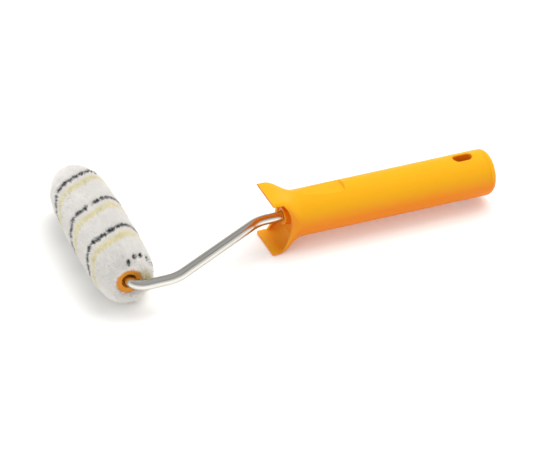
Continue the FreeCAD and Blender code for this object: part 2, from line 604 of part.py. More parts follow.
def make_snap_bush():
    """Nylon bush that stays still on the wire while the sleeve turns round it: its slit
    fingers click into the wire's groove, and its collar is captive in the bearing seat."""
    body = new_body("snap_bush", ROLLER_X, f"{TIP_Y} - {CLIP_SETBACK}", PILE_R)
    lip_far = f"({CLIP_SETBACK} - clip_groove_setback - clip_lip_play)"
    lip_near = f"({CLIP_SETBACK} - clip_groove_setback - clip_groove_width + clip_lip_play)"
    lip_r = f"({ROD_R} - clip_groove_depth + running_clearance)"
    collar_near = f"(collar_setback - {CLIP_LENGTH})"
    turned(body, "Revolution", "bush", [
        (f"{CLIP_BORE_R} + 0.3", "0"), (f"{CLIP_R} - 0.4", "0"), (CLIP_R, "-0.4"),
        (CLIP_R, f"{collar_near} + collar_width"),
        (f"{CLIP_R} + {COLLAR_HEIGHT}", f"{collar_near} + collar_width"),
        (f"{CLIP_R} + {COLLAR_HEIGHT}", collar_near), (CLIP_R, collar_near),
        (CLIP_R, f"-{CLIP_LENGTH}"), (CLIP_BORE_R, f"-{CLIP_LENGTH}"),
        (CLIP_BORE_R, lip_near), (lip_r, f"{lip_near} + 0.3"), (lip_r, f"{lip_far} - 0.3"),
        (CLIP_BORE_R, lip_far)])
    doc.recompute()
    before = body.Shape.Volume
    slit = outline(new_sketch(body, "slit_outline", "XY_Plane"), [
        ("clip_slit_width / -2", "-clip_finger_length"),
        ("clip_slit_width / 2", "-clip_finger_length"),
        ("clip_slit_width / 2", "1"), ("clip_slit_width / -2", "1")])
    cut = extruded(body, "Pocket", "slit", slit, "rod_diameter")
    cut.Reversed = True
    cut_volume(body, cut, before, "slit")
    before = body.Shape.Volume
    pattern = body.newObject("PartDesign::PolarPattern", "slits")
    pattern.Originals = [cut]
    pattern.Axis = (slit, ["V_Axis"])
    pattern.Angle = 360
    pattern.setExpression("Occurrences", bound("clip_slit_count"))
    body.Tip = pattern
    cut_volume(body, pattern, before, "slit pattern")
    return body


def make_bearing_seat():
    """Ring pressed in the core tube, with a groove that keeps the bush's collar."""
    body = new_body("bearing_seat", ROLLER_X, f"{TIP_Y} - {CLIP_SETBACK}", PILE_R)
    seat_r = f"({CLIP_R} + running_clearance)"
    near = f"(-{CLIP_LENGTH} + 0.5)"
    collar_near = f"(collar_setback - {CLIP_LENGTH} - collar_play)"
    collar_far = f"(collar_setback - {CLIP_LENGTH} + collar_width + collar_play)"
    groove_r = f"({seat_r} + {COLLAR_HEIGHT})"
    turned(body, "Revolution", "seat", [
        (seat_r, near), (CORE_BORE_R, near), (CORE_BORE_R, f"{near} + seat_length"),
        (seat_r, f"{near} + seat_length"), (seat_r, collar_far), (groove_r, collar_far),
        (groove_r, collar_near), (seat_r, collar_near)])
    return body


def check(nodes):
    """Stop on any failed object or bad shape before a file is written."""
    doc.recompute()
    for item in doc.Objects:
        if "Invalid" in item.State or "Error" in item.State:
            raise RuntimeError(f"{item.Label}: {item.State}")
    for node in nodes:
        if node.Shape.isNull() or not node.Shape.isValid() or len(node.Shape.Solids) != 1:
            raise RuntimeError(f"{node.Label}: not one valid solid")


nodes = [
    make_frame_rod(),
    make_handle_body(),
    make_handle_end_cap(),
    make_core_tube(),
    make_near_bush(),
    make_core_end_plug(),
    make_fabric_backing(),
    make_pile_sleeve(),
    make_snap_bush(),
    make_bearing_seat(),
]
check(nodes)
os.makedirs("parts", exist_ok=True)
for node in nodes:
    node.Shape.exportStep(f"parts/{node.Label}.step")
    box = node.Shape.BoundBox
    print(f"{node.Label:16s} {node.Shape.Volume:9.1f} mm3  X {box.XMin:.2f} {box.XMax:.2f}"
          f"  Y {box.YMin:.2f} {box.YMax:.2f}  Z {box.ZMin:.2f} {box.ZMax:.2f}")
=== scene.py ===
import math
import random

import bpy
import numpy as np
from bpy.props import (
    FloatProperty, FloatVectorProperty, IntProperty, PointerProperty)
from mathutils import Matrix, Vector, noise


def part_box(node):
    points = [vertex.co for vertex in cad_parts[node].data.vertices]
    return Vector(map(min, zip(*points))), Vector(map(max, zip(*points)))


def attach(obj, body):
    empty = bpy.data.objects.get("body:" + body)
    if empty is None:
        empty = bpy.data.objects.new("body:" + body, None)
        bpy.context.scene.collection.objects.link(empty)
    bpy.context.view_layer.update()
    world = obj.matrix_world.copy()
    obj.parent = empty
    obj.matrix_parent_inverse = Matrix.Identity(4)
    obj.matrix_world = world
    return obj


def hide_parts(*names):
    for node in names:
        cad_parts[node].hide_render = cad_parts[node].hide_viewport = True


bl_info = {
    "name": "Mini Paint Roller",
    "version": (1, 0, 0),
    "blender": (4, 5, 0),
    "location": "View3D > Sidebar > Paint Roller",
    "description": "Dresses the packed roller: pile, plastic, zinc wire and a studio stage",
    "category": "Object",
}

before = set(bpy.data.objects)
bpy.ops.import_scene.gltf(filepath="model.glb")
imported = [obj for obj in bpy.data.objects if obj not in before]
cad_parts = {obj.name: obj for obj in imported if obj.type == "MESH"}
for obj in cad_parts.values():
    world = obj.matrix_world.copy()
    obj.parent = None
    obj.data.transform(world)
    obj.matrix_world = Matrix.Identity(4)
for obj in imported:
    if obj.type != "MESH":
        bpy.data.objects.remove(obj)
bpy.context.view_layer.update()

# The frame and everything in Blender are in metres. The other lengths that are named in
# capitals are in millimetres, but for the stage's first ones.
MM = 0.001
PILE_LOW, PILE_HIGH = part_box("pile_sleeve")
AXIS_X = (PILE_LOW.x + PILE_HIGH.x) / 2
AXIS_Z = (PILE_LOW.z + PILE_HIGH.z) / 2
NEAR_END = PILE_LOW.y


# ------------------------------------------------------------------ colours and nodes

def linear(code):
    """Linear RGB of an sRGB hex colour such as "F2A41E"."""
    channels = [int(code[i:i + 2], 16) / 255 for i in (0, 2, 4)]
    return tuple(
        c / 12.92 if c <= 0.04045 else ((c + 0.055) / 1.055) ** 2.4 for c in channels)


def rgba(colour):
    """A colour property or RGB triple as the four numbers that a colour socket takes."""
    return (*colour[:3], 1.0)


def add_node(tree, kind, settings=None, inputs=None):
    """Adds a node, sets its properties, and sets or links its inputs by name or index."""
    made = tree.nodes.new(kind)
    for name, value in (settings or {}).items():
        setattr(made, name, value)
    for name, value in (inputs or {}).items():
        if isinstance(value, bpy.types.NodeSocket):
            tree.links.new(value, made.inputs[name])
        else:
            made.inputs[name].default_value = value
    return made


def start_material(name, shader_inputs):
    """A material with a Principled shader whose even values sit on its own sockets."""
    material = bpy.data.materials.new(name)
    material.use_nodes = True
    tree = material.node_tree
    tree.nodes.clear()
    shader = add_node(tree, "ShaderNodeBsdfPrincipled", inputs=shader_inputs)
    add_node(tree, "ShaderNodeOutputMaterial", inputs={"Surface": shader.outputs["BSDF"]})
    place = add_node(tree, "ShaderNodeTexCoord").outputs["Object"]
    return material, tree, shader, place


def noise_at(size_mm):
    """Noise scale that puts about one blotch in each stretch of that many millimetres."""
    return 1 / (size_mm * MM)


def dress(node_names, material):
    """Gives CAD nodes one material in every slot."""
    for name in node_names:
        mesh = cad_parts[name].data
        if not mesh.materials:
            mesh.materials.append(material)
        for i in range(len(mesh.materials)):
            mesh.materials[i] = material


def link_object(name, data):
    """A new object for this mesh, light or camera, in the scene at the origin."""
    obj = bpy.data.objects.new(name, data)
    bpy.context.scene.collection.objects.link(obj)
    return obj


def mesh_object(name, verts, faces):
    """A new object whose mesh has these corners and faces."""
    mesh = bpy.data.meshes.new(name)
    mesh.from_pydata(verts, [], faces)
    mesh.validate()
    return link_object(name, mesh)


# ------------------------------------------------------------------ settings

class WireSettings(bpy.types.PropertyGroup):
    """The zinc-plated wire"""
    colour: FloatVectorProperty(
        name="Zinc colour", description="Reflected colour of the plated wire",
        subtype="COLOR", size=3, min=0, max=1, default=linear("E4E2DB"))
    roughness: FloatProperty(
        name="Roughness", description="Haze of the plating's reflections",
        subtype="FACTOR", min=0, max=1, default=0.17)
    draw_line: FloatProperty(
        name="Draw line spacing", description="Distance between the drawing lines",
        unit="LENGTH", min=0.0001, max=0.01, default=0.4 * MM)


class PlasticSettings(bpy.types.PropertyGroup):
    """The moulded pieces"""
    handle_colour: FloatVectorProperty(
        name="Handle colour", description="Pigment of the moulded handle and its cap",
        subtype="COLOR", size=3, min=0, max=1, default=linear("F4B012"))
    # Painted shade: the colour mixed into the handle where it faces down and in its
    # hollows.
    handle_shade_colour: FloatVectorProperty(
        name="Deep colour", description="The handle's colour underneath and in its hollows",
        subtype="COLOR", size=3, min=0, max=1, default=linear("E9850C"))
    bush_colour: FloatVectorProperty(
        name="Bush colour", description="Pigment of the sleeve's two end pieces",
        subtype="COLOR", size=3, min=0, max=1, default=linear("E4952A"))
    core_colour: FloatVectorProperty(
        name="Core colour", description="Unpigmented core tube and bearing seat",
        subtype="COLOR", size=3, min=0, max=1, default=linear("DEDDD6"))
    nylon_colour: FloatVectorProperty(
        name="Nylon colour", description="Natural nylon of the snap bush",
        subtype="COLOR", size=3, min=0, max=1, default=linear("EFEBDD"))
    roughness: FloatProperty(
        name="Gloss", description="Roughness of the moulded surfaces",
        subtype="FACTOR", min=0, max=1, default=0.46)


class PileSettings(bpy.types.PropertyGroup):
    """The pile's tufts, loose fibres and marker yarns"""
    tuft_length: FloatProperty(
        name="Tuft length", description="Loose part of the pile that shows",
        unit="LENGTH", min=0.0005, max=0.006, default=2.1 * MM)
    tuft_width: FloatProperty(
        name="Tuft width", description="Width of a tuft at its root",
        unit="LENGTH", min=0.0001, max=0.003, default=0.68 * MM)
    tuft_spacing: FloatProperty(
        name="Tuft spacing", description="Least distance between two tufts",
        unit="LENGTH", min=0.0002, max=0.003, default=0.36 * MM)
    tuft_tilt: FloatProperty(
        name="Tuft tilt", description="How far a tuft leans from upright",
        subtype="ANGLE", min=0, max=1.2, default=math.radians(20))
    fibre_length: FloatProperty(
        name="Loose fibre length", description="Single fibres that stand proud of tufts",
        unit="LENGTH", min=0.0005, max=0.006, default=2.7 * MM)
    fibre_width: FloatProperty(
        name="Loose fibre width", description="Width of a loose fibre at its root",
        unit="LENGTH", min=0.00005, max=0.001, default=0.2 * MM)
    fibre_spacing: FloatProperty(
        name="Loose fibre spacing", description="Least distance between two loose fibres",
        unit="LENGTH", min=0.0003, max=0.005, default=0.62 * MM)
    fibre_tilt: FloatProperty(
        name="Loose fibre tilt", description="How far a loose fibre leans from upright",
        subtype="ANGLE", min=0, max=1.2, default=math.radians(38))
    pitch: FloatProperty(
        name="Stripe pitch", description="Advance of the marker yarns in one turn",
        unit="LENGTH", min=0.01, max=0.06, default=28.9 * MM)
    yellow_offset: FloatProperty(
        name="Yellow offset", description="Yellow band to the dark yarn, along the sleeve",
        unit="LENGTH", min=0.001, max=0.02, default=8.4 * MM)
    yellow_width: FloatProperty(
        name="Yellow width", description="Width of the yellow band",
        unit="LENGTH", min=0.0005, max=0.015, default=4.6 * MM)
    dark_width: FloatProperty(
        name="Dark width", description="Width of the dark yarn's dashes",
        unit="LENGTH", min=0.0005, max=0.006, default=3.3 * MM)
    white: FloatVectorProperty(
        name="White", description="Undyed polyamide pile",
        subtype="COLOR", size=3, min=0, max=1, default=linear("FFFDFA"))
    yellow: FloatVectorProperty(
        name="Yellow", description="Pale yellow marker yarn",
        subtype="COLOR", size=3, min=0, max=1, default=linear("FEF5BE"))
    dark: FloatVectorProperty(
        name="Dark", description="Blue-black marker yarn",
        subtype="COLOR", size=3, min=0, max=1, default=linear("15161F"))
    seed: IntProperty(
        name="Seed", description="Seed of the dashes and the tufts", min=0, default=7)


class StageSettings(bpy.types.PropertyGroup):
    """The floor, the lights, the room and the camera"""
    floor_colour: FloatVectorProperty(
        name="Floor colour", description="Plain pale floor",
        subtype="COLOR", size=3, min=0, max=1, default=linear("F4F3F1"))
    floor_glow: FloatProperty(
        name="Floor glow", description="Light that comes up through the studio table",
        min=0, default=0.16)
    key_power: FloatProperty(
        name="Key light", description="Power of the large softbox overhead",
        min=0, default=14.5)
    fill_power: FloatProperty(
        name="Fill light", description="Power of the softbox at the left",
        min=0, default=2.0)
    sky: FloatProperty(
        name="Room light", description="Strength of the pale room round the stage",
        min=0, default=0.64)
    azimuth: FloatProperty(
        name="Camera azimuth", description="Turn of the view about the vertical",
        subtype="ANGLE", default=math.radians(-21.828))
    elevation: FloatProperty(
        name="Camera elevation", description="Height of the view above the horizon",
        subtype="ANGLE", default=math.radians(33.737))
    roll: FloatProperty(
        name="Camera roll", description="Lean of the view", subtype="ANGLE",
        default=math.radians(-0.065))
    distance: FloatProperty(
        name="Camera distance", description="Camera to the point it looks at",
        unit="LENGTH", min=0.2, default=1150.1 * MM)
    lens: FloatProperty(
        name="Lens", description="Focal length in millimetres", min=10, default=132.41)


# ------------------------------------------------------------------ wire

PLATING_PATCH = 9    # size of the cloudy patches in the zinc
LINE_SQUEEZE = 0.04  # makes the draw lines 25 times longer than they are wide
LINE_SLICE = math.radians(-30)   # picks another part of the lines' noise
LINE_DEPTH = 0.03

class PAINTROLLER_OT_wire(bpy.types.Operator):
    """Finishes the bent wire as bright zinc-plated steel"""
    bl_idname = "paintroller.wire"
    bl_label = "Finish the wire"

    def execute(self, context):
        look = context.scene.roller_wire
        # Bright zinc on drawn steel wire: a grey mirror, slightly hazy and darker at a
        # glancing angle, with cloudier patches in the plating and the faint lines that a
        # die drags. The lines run along the roller's length, which is along the wire
        # beside the sleeve and at the handle, and 30 degrees off it on the diagonal.
        material, tree, shader, place = start_material("zinc_plated_drawn_steel", {
            "Metallic": 1.0, "Base Color": rgba(look.colour),
            "Specular Tint": rgba(linear("A8A49A"))})
        cloud = add_node(tree, "ShaderNodeTexNoise", inputs={
            "Vector": place, "Scale": noise_at(PLATING_PATCH), "Detail": 3.0})
        haze = add_node(tree, "ShaderNodeMapRange", inputs={
            "Value": cloud.outputs["Fac"], "From Min": 0.35, "From Max": 0.7,
            "To Min": look.roughness * 0.75, "To Max": look.roughness * 1.5})
        tree.links.new(haze.outputs["Result"], shader.inputs["Roughness"])
        # The lines are farther apart than real ones, so that they show at all.
        lines = add_node(tree, "ShaderNodeMapping", inputs={
            "Vector": place, "Rotation": (0, 0, LINE_SLICE),
            "Scale": (LINE_SQUEEZE, 1, 1)})
        grain = add_node(tree, "ShaderNodeTexNoise", inputs={
            "Vector": lines.outputs["Vector"], "Scale": 1 / look.draw_line, "Detail": 2.0})
        bump = add_node(tree, "ShaderNodeBump", inputs={
            "Height": grain.outputs["Fac"], "Strength": 0.12, "Distance": LINE_DEPTH * MM})
        tree.links.new(bump.outputs["Normal"], shader.inputs["Normal"])
        dress(["frame_rod"], material)
        return {"FINISHED"}


# ------------------------------------------------------------------ mouldings

UNDERSIDE_SHADE_STARTS = 0.62  # how far up a surface faces, 1 being straight up, where the painted shade of the underside starts, and where it is complete
UNDERSIDE_SHADE_FULL = -0.35   # tone of the underside starts, and where it is complete
HOLLOW_SHADE_STARTS = 0.92          # ambient occlusion where the painted shade of a hollow starts, and where it is complete
HOLLOW_SHADE_FULL = 0.55      # and where it is complete
HOLLOW_SHADE_REACH = 20    # how far away a wall still adds painted shade to a hollow
GLOW_REACH = 3       # how far light spreads inside the polymer
FLOW_CLOUD = 28      # size of the clouds that the melt's flow leaves
FLOW_DEPTH = 0.12    # share of the deeper tone in them
SKIN_PIT = 0.7       # from one pit of the mould's skin to the next
SKIN_DEPTH = 0.03
WEAR_PATCH = 11      # size of the duller patches from handling

def moulded(name, colour, deep, roughness, glow, glow_radius, underside_shade_amount=0.0):
    """Moulded polymer: faint flow clouds, an eroded mould skin, and painted shade: a deeper
    colour mixed in where the surface is enclosed, found by ambient occlusion, and, on a
    piece that never turns, where it faces down."""
    material, tree, shader, place = start_material(name, {
        "IOR": 1.49, "Specular IOR Level": 0.2, "Subsurface Weight": glow,
        "Subsurface Radius": glow_radius, "Subsurface Scale": GLOW_REACH * MM})
    flow = add_node(tree, "ShaderNodeTexNoise", inputs={
        "Vector": place, "Scale": noise_at(FLOW_CLOUD), "Detail": 4.0, "Distortion": 0.8})
    # Painted shade underneath: the deep colour's share grows as the surface's world normal
    # turns down.
    facing = add_node(tree, "ShaderNodeSeparateXYZ", inputs={
        "Vector": add_node(tree, "ShaderNodeNewGeometry").outputs["Normal"]})
    underside_shade = add_node(tree, "ShaderNodeMapRange", {"interpolation_type": "SMOOTHSTEP"}, {
        "Value": facing.outputs["Z"], "From Min": UNDERSIDE_SHADE_STARTS, "From Max": UNDERSIDE_SHADE_FULL,
        "To Max": underside_shade_amount})
    # Painted shade in hollows: the deep colour's share grows where ambient occlusion finds
    # walls close by.
    openness = add_node(
        tree, "ShaderNodeAmbientOcclusion", {"samples": 8, "only_local": True}, {
            "Distance": HOLLOW_SHADE_REACH * MM})
    hollow_shade = add_node(tree, "ShaderNodeMapRange", inputs={
        "Value": openness.outputs["AO"], "From Min": HOLLOW_SHADE_STARTS, "From Max": HOLLOW_SHADE_FULL})
    # Painted shade: the larger of the two, plus a faint share in the flow clouds, mixes the
    # deep colour into the base colour.
    painted_shade = add_node(tree, "ShaderNodeMath", {"operation": "MAXIMUM"}, {
        0: underside_shade.outputs["Result"], 1: hollow_shade.outputs["Result"]})
    cloud = add_node(
        tree, "ShaderNodeMath", {"operation": "MULTIPLY_ADD", "use_clamp": True}, {
            0: flow.outputs["Fac"], 1: FLOW_DEPTH, 2: painted_shade.outputs[0]})
    tone = add_node(tree, "ShaderNodeMix", {"data_type": "RGBA"}, {
        "Factor": cloud.outputs[0], "A": rgba(colour), "B": rgba(deep)})
    tree.links.new(tone.outputs["Result"], shader.inputs["Base Color"])
    # Spark-eroded mould skin: pits half as wide as their spacing that break up the
    # highlight, coarser than real ones so that they show at all.
    skin = add_node(tree, "ShaderNodeTexNoise", inputs={
        "Vector": place, "Scale": noise_at(SKIN_PIT), "Detail": 3.0, "Roughness": 0.6})
    wear = add_node(tree, "ShaderNodeTexNoise", inputs={
        "Vector": place, "Scale": noise_at(WEAR_PATCH), "Detail": 5.0, "Roughness": 0.65})
    gloss = add_node(tree, "ShaderNodeMapRange", inputs={
        "Value": wear.outputs["Fac"], "From Min": 0.3, "From Max": 0.75,
        "To Min": roughness * 0.85, "To Max": roughness * 1.25})
    tree.links.new(gloss.outputs["Result"], shader.inputs["Roughness"])
    bump = add_node(tree, "ShaderNodeBump", inputs={
        "Height": skin.outputs["Fac"], "Strength": 0.25, "Distance": SKIN_DEPTH * MM})
    tree.links.new(bump.outputs["Normal"], shader.inputs["Normal"])
    return material


class PAINTROLLER_OT_mouldings(bpy.types.Operator):
    """Finishes the handle, its cap, the sleeve's end pieces, the core and the snap bush"""
    bl_idname = "paintroller.mouldings"
    bl_label = "Finish the mouldings"

    def execute(self, context):
        look = context.scene.roller_plastic
        # Injection-moulded polypropylene: a saturated warm yellow-orange with a soft
        # highlight; its underside and hollows get a redder orange as painted shade.
        dress(["handle_body", "handle_end_cap"], moulded(
            "polypropylene_satin_yellow", look.handle_colour, look.handle_shade_colour,
            look.roughness, glow=0.06, glow_radius=(1.0, 0.25, 0.02), underside_shade_amount=1.0))
        # The same polymer in a deeper orange, a little duller; DC8A20 is painted shade in
        # its hollows and a faint flow cloud.
        dress(["near_bush", "core_end_plug"], moulded(
            "polypropylene_orange", look.bush_colour, linear("DC8A20"),
            look.roughness * 1.1, glow=0.15, glow_radius=(1.0, 0.35, 0.1)))
        # Extruded unpigmented polypropylene: milky off-white; C6C3B8 is painted shade in
        # its hollows and a faint flow cloud.
        dress(["core_tube", "bearing_seat"], moulded(
            "polypropylene_milky", look.core_colour, linear("C6C3B8"),
            look.roughness, glow=0.3, glow_radius=(1.0, 0.95, 0.85)))
        # Natural nylon: ivory and waxy; D8CFB4 is painted shade in its hollows and a faint
        # flow cloud.
        dress(["snap_bush"], moulded(
            "nylon_natural", look.nylon_colour, linear("D8CFB4"),
            look.roughness * 0.9, glow=0.3, glow_radius=(1.0, 0.9, 0.7)))
        return {"FINISHED"}


# ------------------------------------------------------------------ pile

def length_along(points):
    """Distance of each point from the first, along the line through them."""
    runs = np.linalg.norm(np.diff(points, axis=0), axis=1)
    return np.concatenate([[0], np.cumsum(runs)])


def smooth_line(points, step):
    """Even points, that far apart, along a smooth curve through the given ones."""
    fine = []
    for i in range(len(points) - 1):
        before, a, b, after = (
            np.array(points[min(max(j, 0), len(points) - 1)], float)
            for j in (i - 1, i, i + 1, i + 2))
        for t in np.linspace(0, 1, CURVE_STEPS, endpoint=False):
            fine.append(0.5 * (
                2 * a + (b - before) * t + (2 * before - 5 * a + 4 * b - after) * t ** 2
                + (3 * a - before - 3 * b + after) * t ** 3))
    fine.append(np.array(points[-1], float))
    fine = np.array(fine)
    along = length_along(fine)
    even = np.linspace(0, along[-1], int(along[-1] / step) + 1)
    return np.stack([np.interp(even, along, fine[:, k]) for k in (0, 1)], axis=1)


# Where the tufts are rooted: millimetres from the pile's near end, and from the axis.
# It turns in round the near bush, swells to the middle and falls away to a round far end.
ROOT_LINE = [
    (3.2, 8.4), (2.0, 8.8), (1.3, 9.7), (1.4, 10.8), (2.1, 12.0), (4.7, 13.3), (9.5, 14.5),
    (19, 15.4), (38, 15.9), (57, 16.15), (75, 15.75), (89, 15.3), (99.5, 14.0), (106, 11.7),
    (109.5, 10.3), (111.2, 9.5), (111.5, 8.9), (110.8, 8.4)]
CURVE_STEPS = 24     # points worked out between two of these
ROOT_STEP = 0.5      # between two rings of the carrier, along the root line
ROUND_STEPS = 216    # corners in each ring
BACKING_RADIUS = 8.35
LUMP_HEIGHT = 0.28   # how far the pile's surface swells and sinks
LUMP_LENGTH = 6.0    # size of those swellings along the sleeve
LUMPS_ROUND = 3.0    # and round it: the radius of the noise's circle, in blotches
LUMP_FADE = 3.0      # height above the backing over which they fade at both mouths
MIDDLE = 56.0        # near end to about the middle of the pile

# The law of the marker yarns. They are wound, so it is counted in turns of the sleeve.
LAW_ZERO = 30.3      # near end to where the law has its zero
LAW_START = 0.4      # the dark yarn's place at that zero
STRETCH = 0.9        # extra advance, times the turns squared
COMB = 1.5           # height of the waves that the pile is combed in
COMB_WAVES = 4       # waves in each turn
COMB_PHASE = math.radians(58)
FIRST_TURN = -1.01   # where the wound fabric starts
YELLOW_START = -0.86  # the yellow yarn comes up a little later
BURIED_TURN = -0.72  # up to here the dark yarn is half buried by the rounded end
LAST_TURN = 3.0      # past the far end
TURNS_DRAWN = range(-2, 4)
YARN_RADIUS = 16.0   # where a yarn's length is measured

# The dark yarn comes up in dashes. Each pair is the least and the most.
DASH_LENGTH = (2.4, 5.6)
DASH_GAP = (0.1, 0.6)
WIDE_GAP = (2.2, 3.6)
WIDE_GAP_SHARE = 0.05
BURIED_GAP = (2.2, 4.6)
BURIED_LENGTH = 0.6  # a half buried dash against a free one
DASH_SHIFT = 0.3     # spread of the dashes' places across the yarn
DASH_SLOPE = (-0.35, 0.15)
STRAY_SHARE = 0.05   # dark tufts strayed beside the dashes,
STRAY_REACH = 1.8    # and how far
YELLOW_SHARE = 0.66  # share of yellow tufts in the middle of the band
YELLOW_PEAK, YELLOW_FALL = 1.3, 0.95   # how that share falls off towards the band's edge

TUFTS_PER_M2 = 9.0e6  # more than fit, so that the spacing decides
TUFT_SIZES = (0.72, 1.12)
FEWEST_FACES = 100   # fewer than that means that nothing grew
FEET_SPACING = 0.6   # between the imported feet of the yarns
FEET_DEPTH = 0.3
KNIT_LOOP = 1.2      # between two loops of the backing
KNIT_DEPTH = 0.2


def yarn_line(turns, pitch):
    """How far along the sleeve, in millimetres, the dark yarn lies after so many turns.
    The fabric is stretched a little more at the far end, and the pile combed in waves."""
    comb = COMB * np.cos(COMB_WAVES * (turns * 2 * math.pi + COMB_PHASE))
    return LAW_START + pitch * turns + STRETCH * turns ** 2 + comb


def yarn_shares(along, angle, look):
    """Share of dark and of yellow tufts at each point of the sleeve."""
    draw = random.Random(look.seed)
    pitch, half = look.pitch / MM, look.dark_width / MM / 2
    dark = np.zeros_like(along)
    yellow = np.zeros_like(along)
    dashes = []
    turn_length = 2 * math.pi * YARN_RADIUS
    at = FIRST_TURN
    while at < LAST_TURN:
        length = draw.uniform(*DASH_LENGTH)
        gap = draw.uniform(*(WIDE_GAP if draw.random() < WIDE_GAP_SHARE else DASH_GAP))
        if at < BURIED_TURN:
            length, gap = length * BURIED_LENGTH, draw.uniform(*BURIED_GAP)
        dashes.append((at, length, draw.gauss(0, DASH_SHIFT), draw.uniform(*DASH_SLOPE)))
        at += (length + gap) / turn_length
    for n in TURNS_DRAWN:
        turns = n + angle / (2 * math.pi)
        off = along - LAW_ZERO - yarn_line(turns, pitch)
        wound = turns > FIRST_TURN
        for start, length, shift, slope in dashes:
            s = (turns - start) * turn_length - length / 2
            reach = np.clip(1 - (2 * s / length) ** 4, 0, 1)
            dark = np.maximum(dark, (np.abs(off - shift - slope * s) < half * reach) * 1.0)
        dark = np.maximum(dark, STRAY_SHARE * (np.abs(off) < STRAY_REACH) * wound)
        band = np.abs(off + look.yellow_offset / MM) / (look.yellow_width / MM / 2)
        strip = np.clip(YELLOW_PEAK - YELLOW_FALL * band, 0, YELLOW_SHARE)
        yellow = np.maximum(yellow, strip * (turns > YELLOW_START))
    return dark, yellow * (1 - dark)


def pile_carrier(look):
    """Surface that the tufts are rooted in: its corners, faces, share of dark and of
    yellow tufts at each corner, and number of rings."""
    line = smooth_line(ROOT_LINE, ROOT_STEP)
    angles = np.linspace(0, 2 * math.pi, ROUND_STEPS, endpoint=False)
    verts = []
    for along, radius in line:
        for angle in angles:
            x, z = math.sin(angle), math.cos(angle)
            spot = Vector((x * LUMPS_ROUND, along / LUMP_LENGTH, z * LUMPS_ROUND))
            # The last three are the roughness, lacunarity and octaves.
            lump = LUMP_HEIGHT * noise.fractal(spot, 1.0, 2.0, 3)
            edge = min(1.0, (radius - BACKING_RADIUS) / LUMP_FADE)
            r = radius + lump * edge
            verts.append((
                AXIS_X + r * x * MM, NEAR_END + along * MM, AXIS_Z + r * z * MM))
    rows, turn = len(line), ROUND_STEPS
    faces = [
        (i * turn + j, i * turn + (j + 1) % turn,
         (i + 1) * turn + (j + 1) % turn, (i + 1) * turn + j)
        for i in range(rows - 1) for j in range(turn)]
    signed = np.arctan2(np.sin(angles), np.cos(angles))
    # The yarns are laid along the fabric, so distances run along its surface.
    surface = length_along(line)
    surface += MIDDLE - np.interp(MIDDLE, line[:, 0], surface)
    dark, yellow = yarn_shares(np.repeat(surface, turn), np.tile(signed, rows), look)
    return verts, faces, dark, yellow, rows


def tuft_tree(material):
    """Geometry Nodes tree that plants one tapered tuft at each scattered point."""
    tree = bpy.data.node_groups.new("pile_tufts", "GeometryNodeTree")
    sockets = {}
    for name, kind in (
            ("Carrier", "NodeSocketGeometry"), ("Length", "NodeSocketFloat"),
            ("Width", "NodeSocketFloat"), ("Spacing", "NodeSocketFloat"),
            ("Tilt", "NodeSocketFloat"), ("Seed", "NodeSocketInt")):
        sockets[name] = tree.interface.new_socket(
            name, in_out="INPUT", socket_type=kind).identifier
    tree.interface.new_socket("Tufts", in_out="OUTPUT", socket_type="NodeSocketGeometry")
    given = add_node(tree, "NodeGroupInput").outputs
    share = add_node(tree, "GeometryNodeInputNamedAttribute", inputs={"Name": "share"})
    points = add_node(
        tree, "GeometryNodeDistributePointsOnFaces", {"distribute_method": "POISSON"}, {
            "Mesh": given["Carrier"], "Distance Min": given["Spacing"],
            "Density Max": TUFTS_PER_M2, "Density Factor": share.outputs["Attribute"],
            "Seed": given["Seed"]})
    half = add_node(tree, "ShaderNodeMath", {"operation": "MULTIPLY"}, {
        0: given["Width"], 1: 0.5})
    tuft = add_node(tree, "GeometryNodeMeshCone", inputs={
        "Vertices": 3, "Radius Bottom": half.outputs[0], "Radius Top": 0.0,
        "Depth": given["Length"]})
    back = add_node(tree, "ShaderNodeMath", {"operation": "MULTIPLY"}, {
        0: given["Tilt"], 1: -1.0})
    lean = add_node(tree, "FunctionNodeRandomValue", {"data_type": "FLOAT_VECTOR"}, {
        "Min": back.outputs[0], "Max": given["Tilt"], "Seed": given["Seed"]})
    turned = add_node(tree, "FunctionNodeRotateRotation", {"rotation_space": "LOCAL"}, {
        "Rotation": points.outputs["Rotation"], "Rotate By": lean.outputs["Value"]})
    size = add_node(tree, "FunctionNodeRandomValue", {"data_type": "FLOAT"}, {
        2: TUFT_SIZES[0], 3: TUFT_SIZES[1], "Seed": given["Seed"]})
    planted = add_node(tree, "GeometryNodeInstanceOnPoints", inputs={
        "Points": points.outputs["Points"], "Instance": tuft.outputs["Mesh"],
        "Rotation": turned.outputs["Rotation"], "Scale": size.outputs[1]})
    real = add_node(tree, "GeometryNodeRealizeInstances", inputs={
        "Geometry": planted.outputs["Instances"]})
    finish = add_node(tree, "GeometryNodeSetMaterial", inputs={
        "Geometry": real.outputs["Geometry"], "Material": material})
    add_node(tree, "NodeGroupOutput", inputs={"Tufts": finish.outputs["Geometry"]})
    return tree, sockets


def plant(name, verts, faces, share, material, values):
    """A plain mesh of tufts wherever the share says, rooted in the carrier."""
    carrier = mesh_object(name + "_carrier", verts, faces)
    attribute = carrier.data.attributes.new("share", "FLOAT", "POINT")
    attribute.data.foreach_set("value", share.astype(np.float32))
    tree, sockets = tuft_tree(material)
    modifier = carrier.modifiers.new("tufts", "NODES")
    modifier.node_group = tree
    for key, value in values.items():
        modifier[sockets[key]] = value
    evaluated = carrier.evaluated_get(bpy.context.evaluated_depsgraph_get())
    mesh = bpy.data.meshes.new_from_object(evaluated)
    bpy.data.objects.remove(carrier)
    if len(mesh.polygons) < FEWEST_FACES:
        raise RuntimeError(name + ": almost no tufts were planted")
    mesh.name = name
    return link_object(name, mesh)


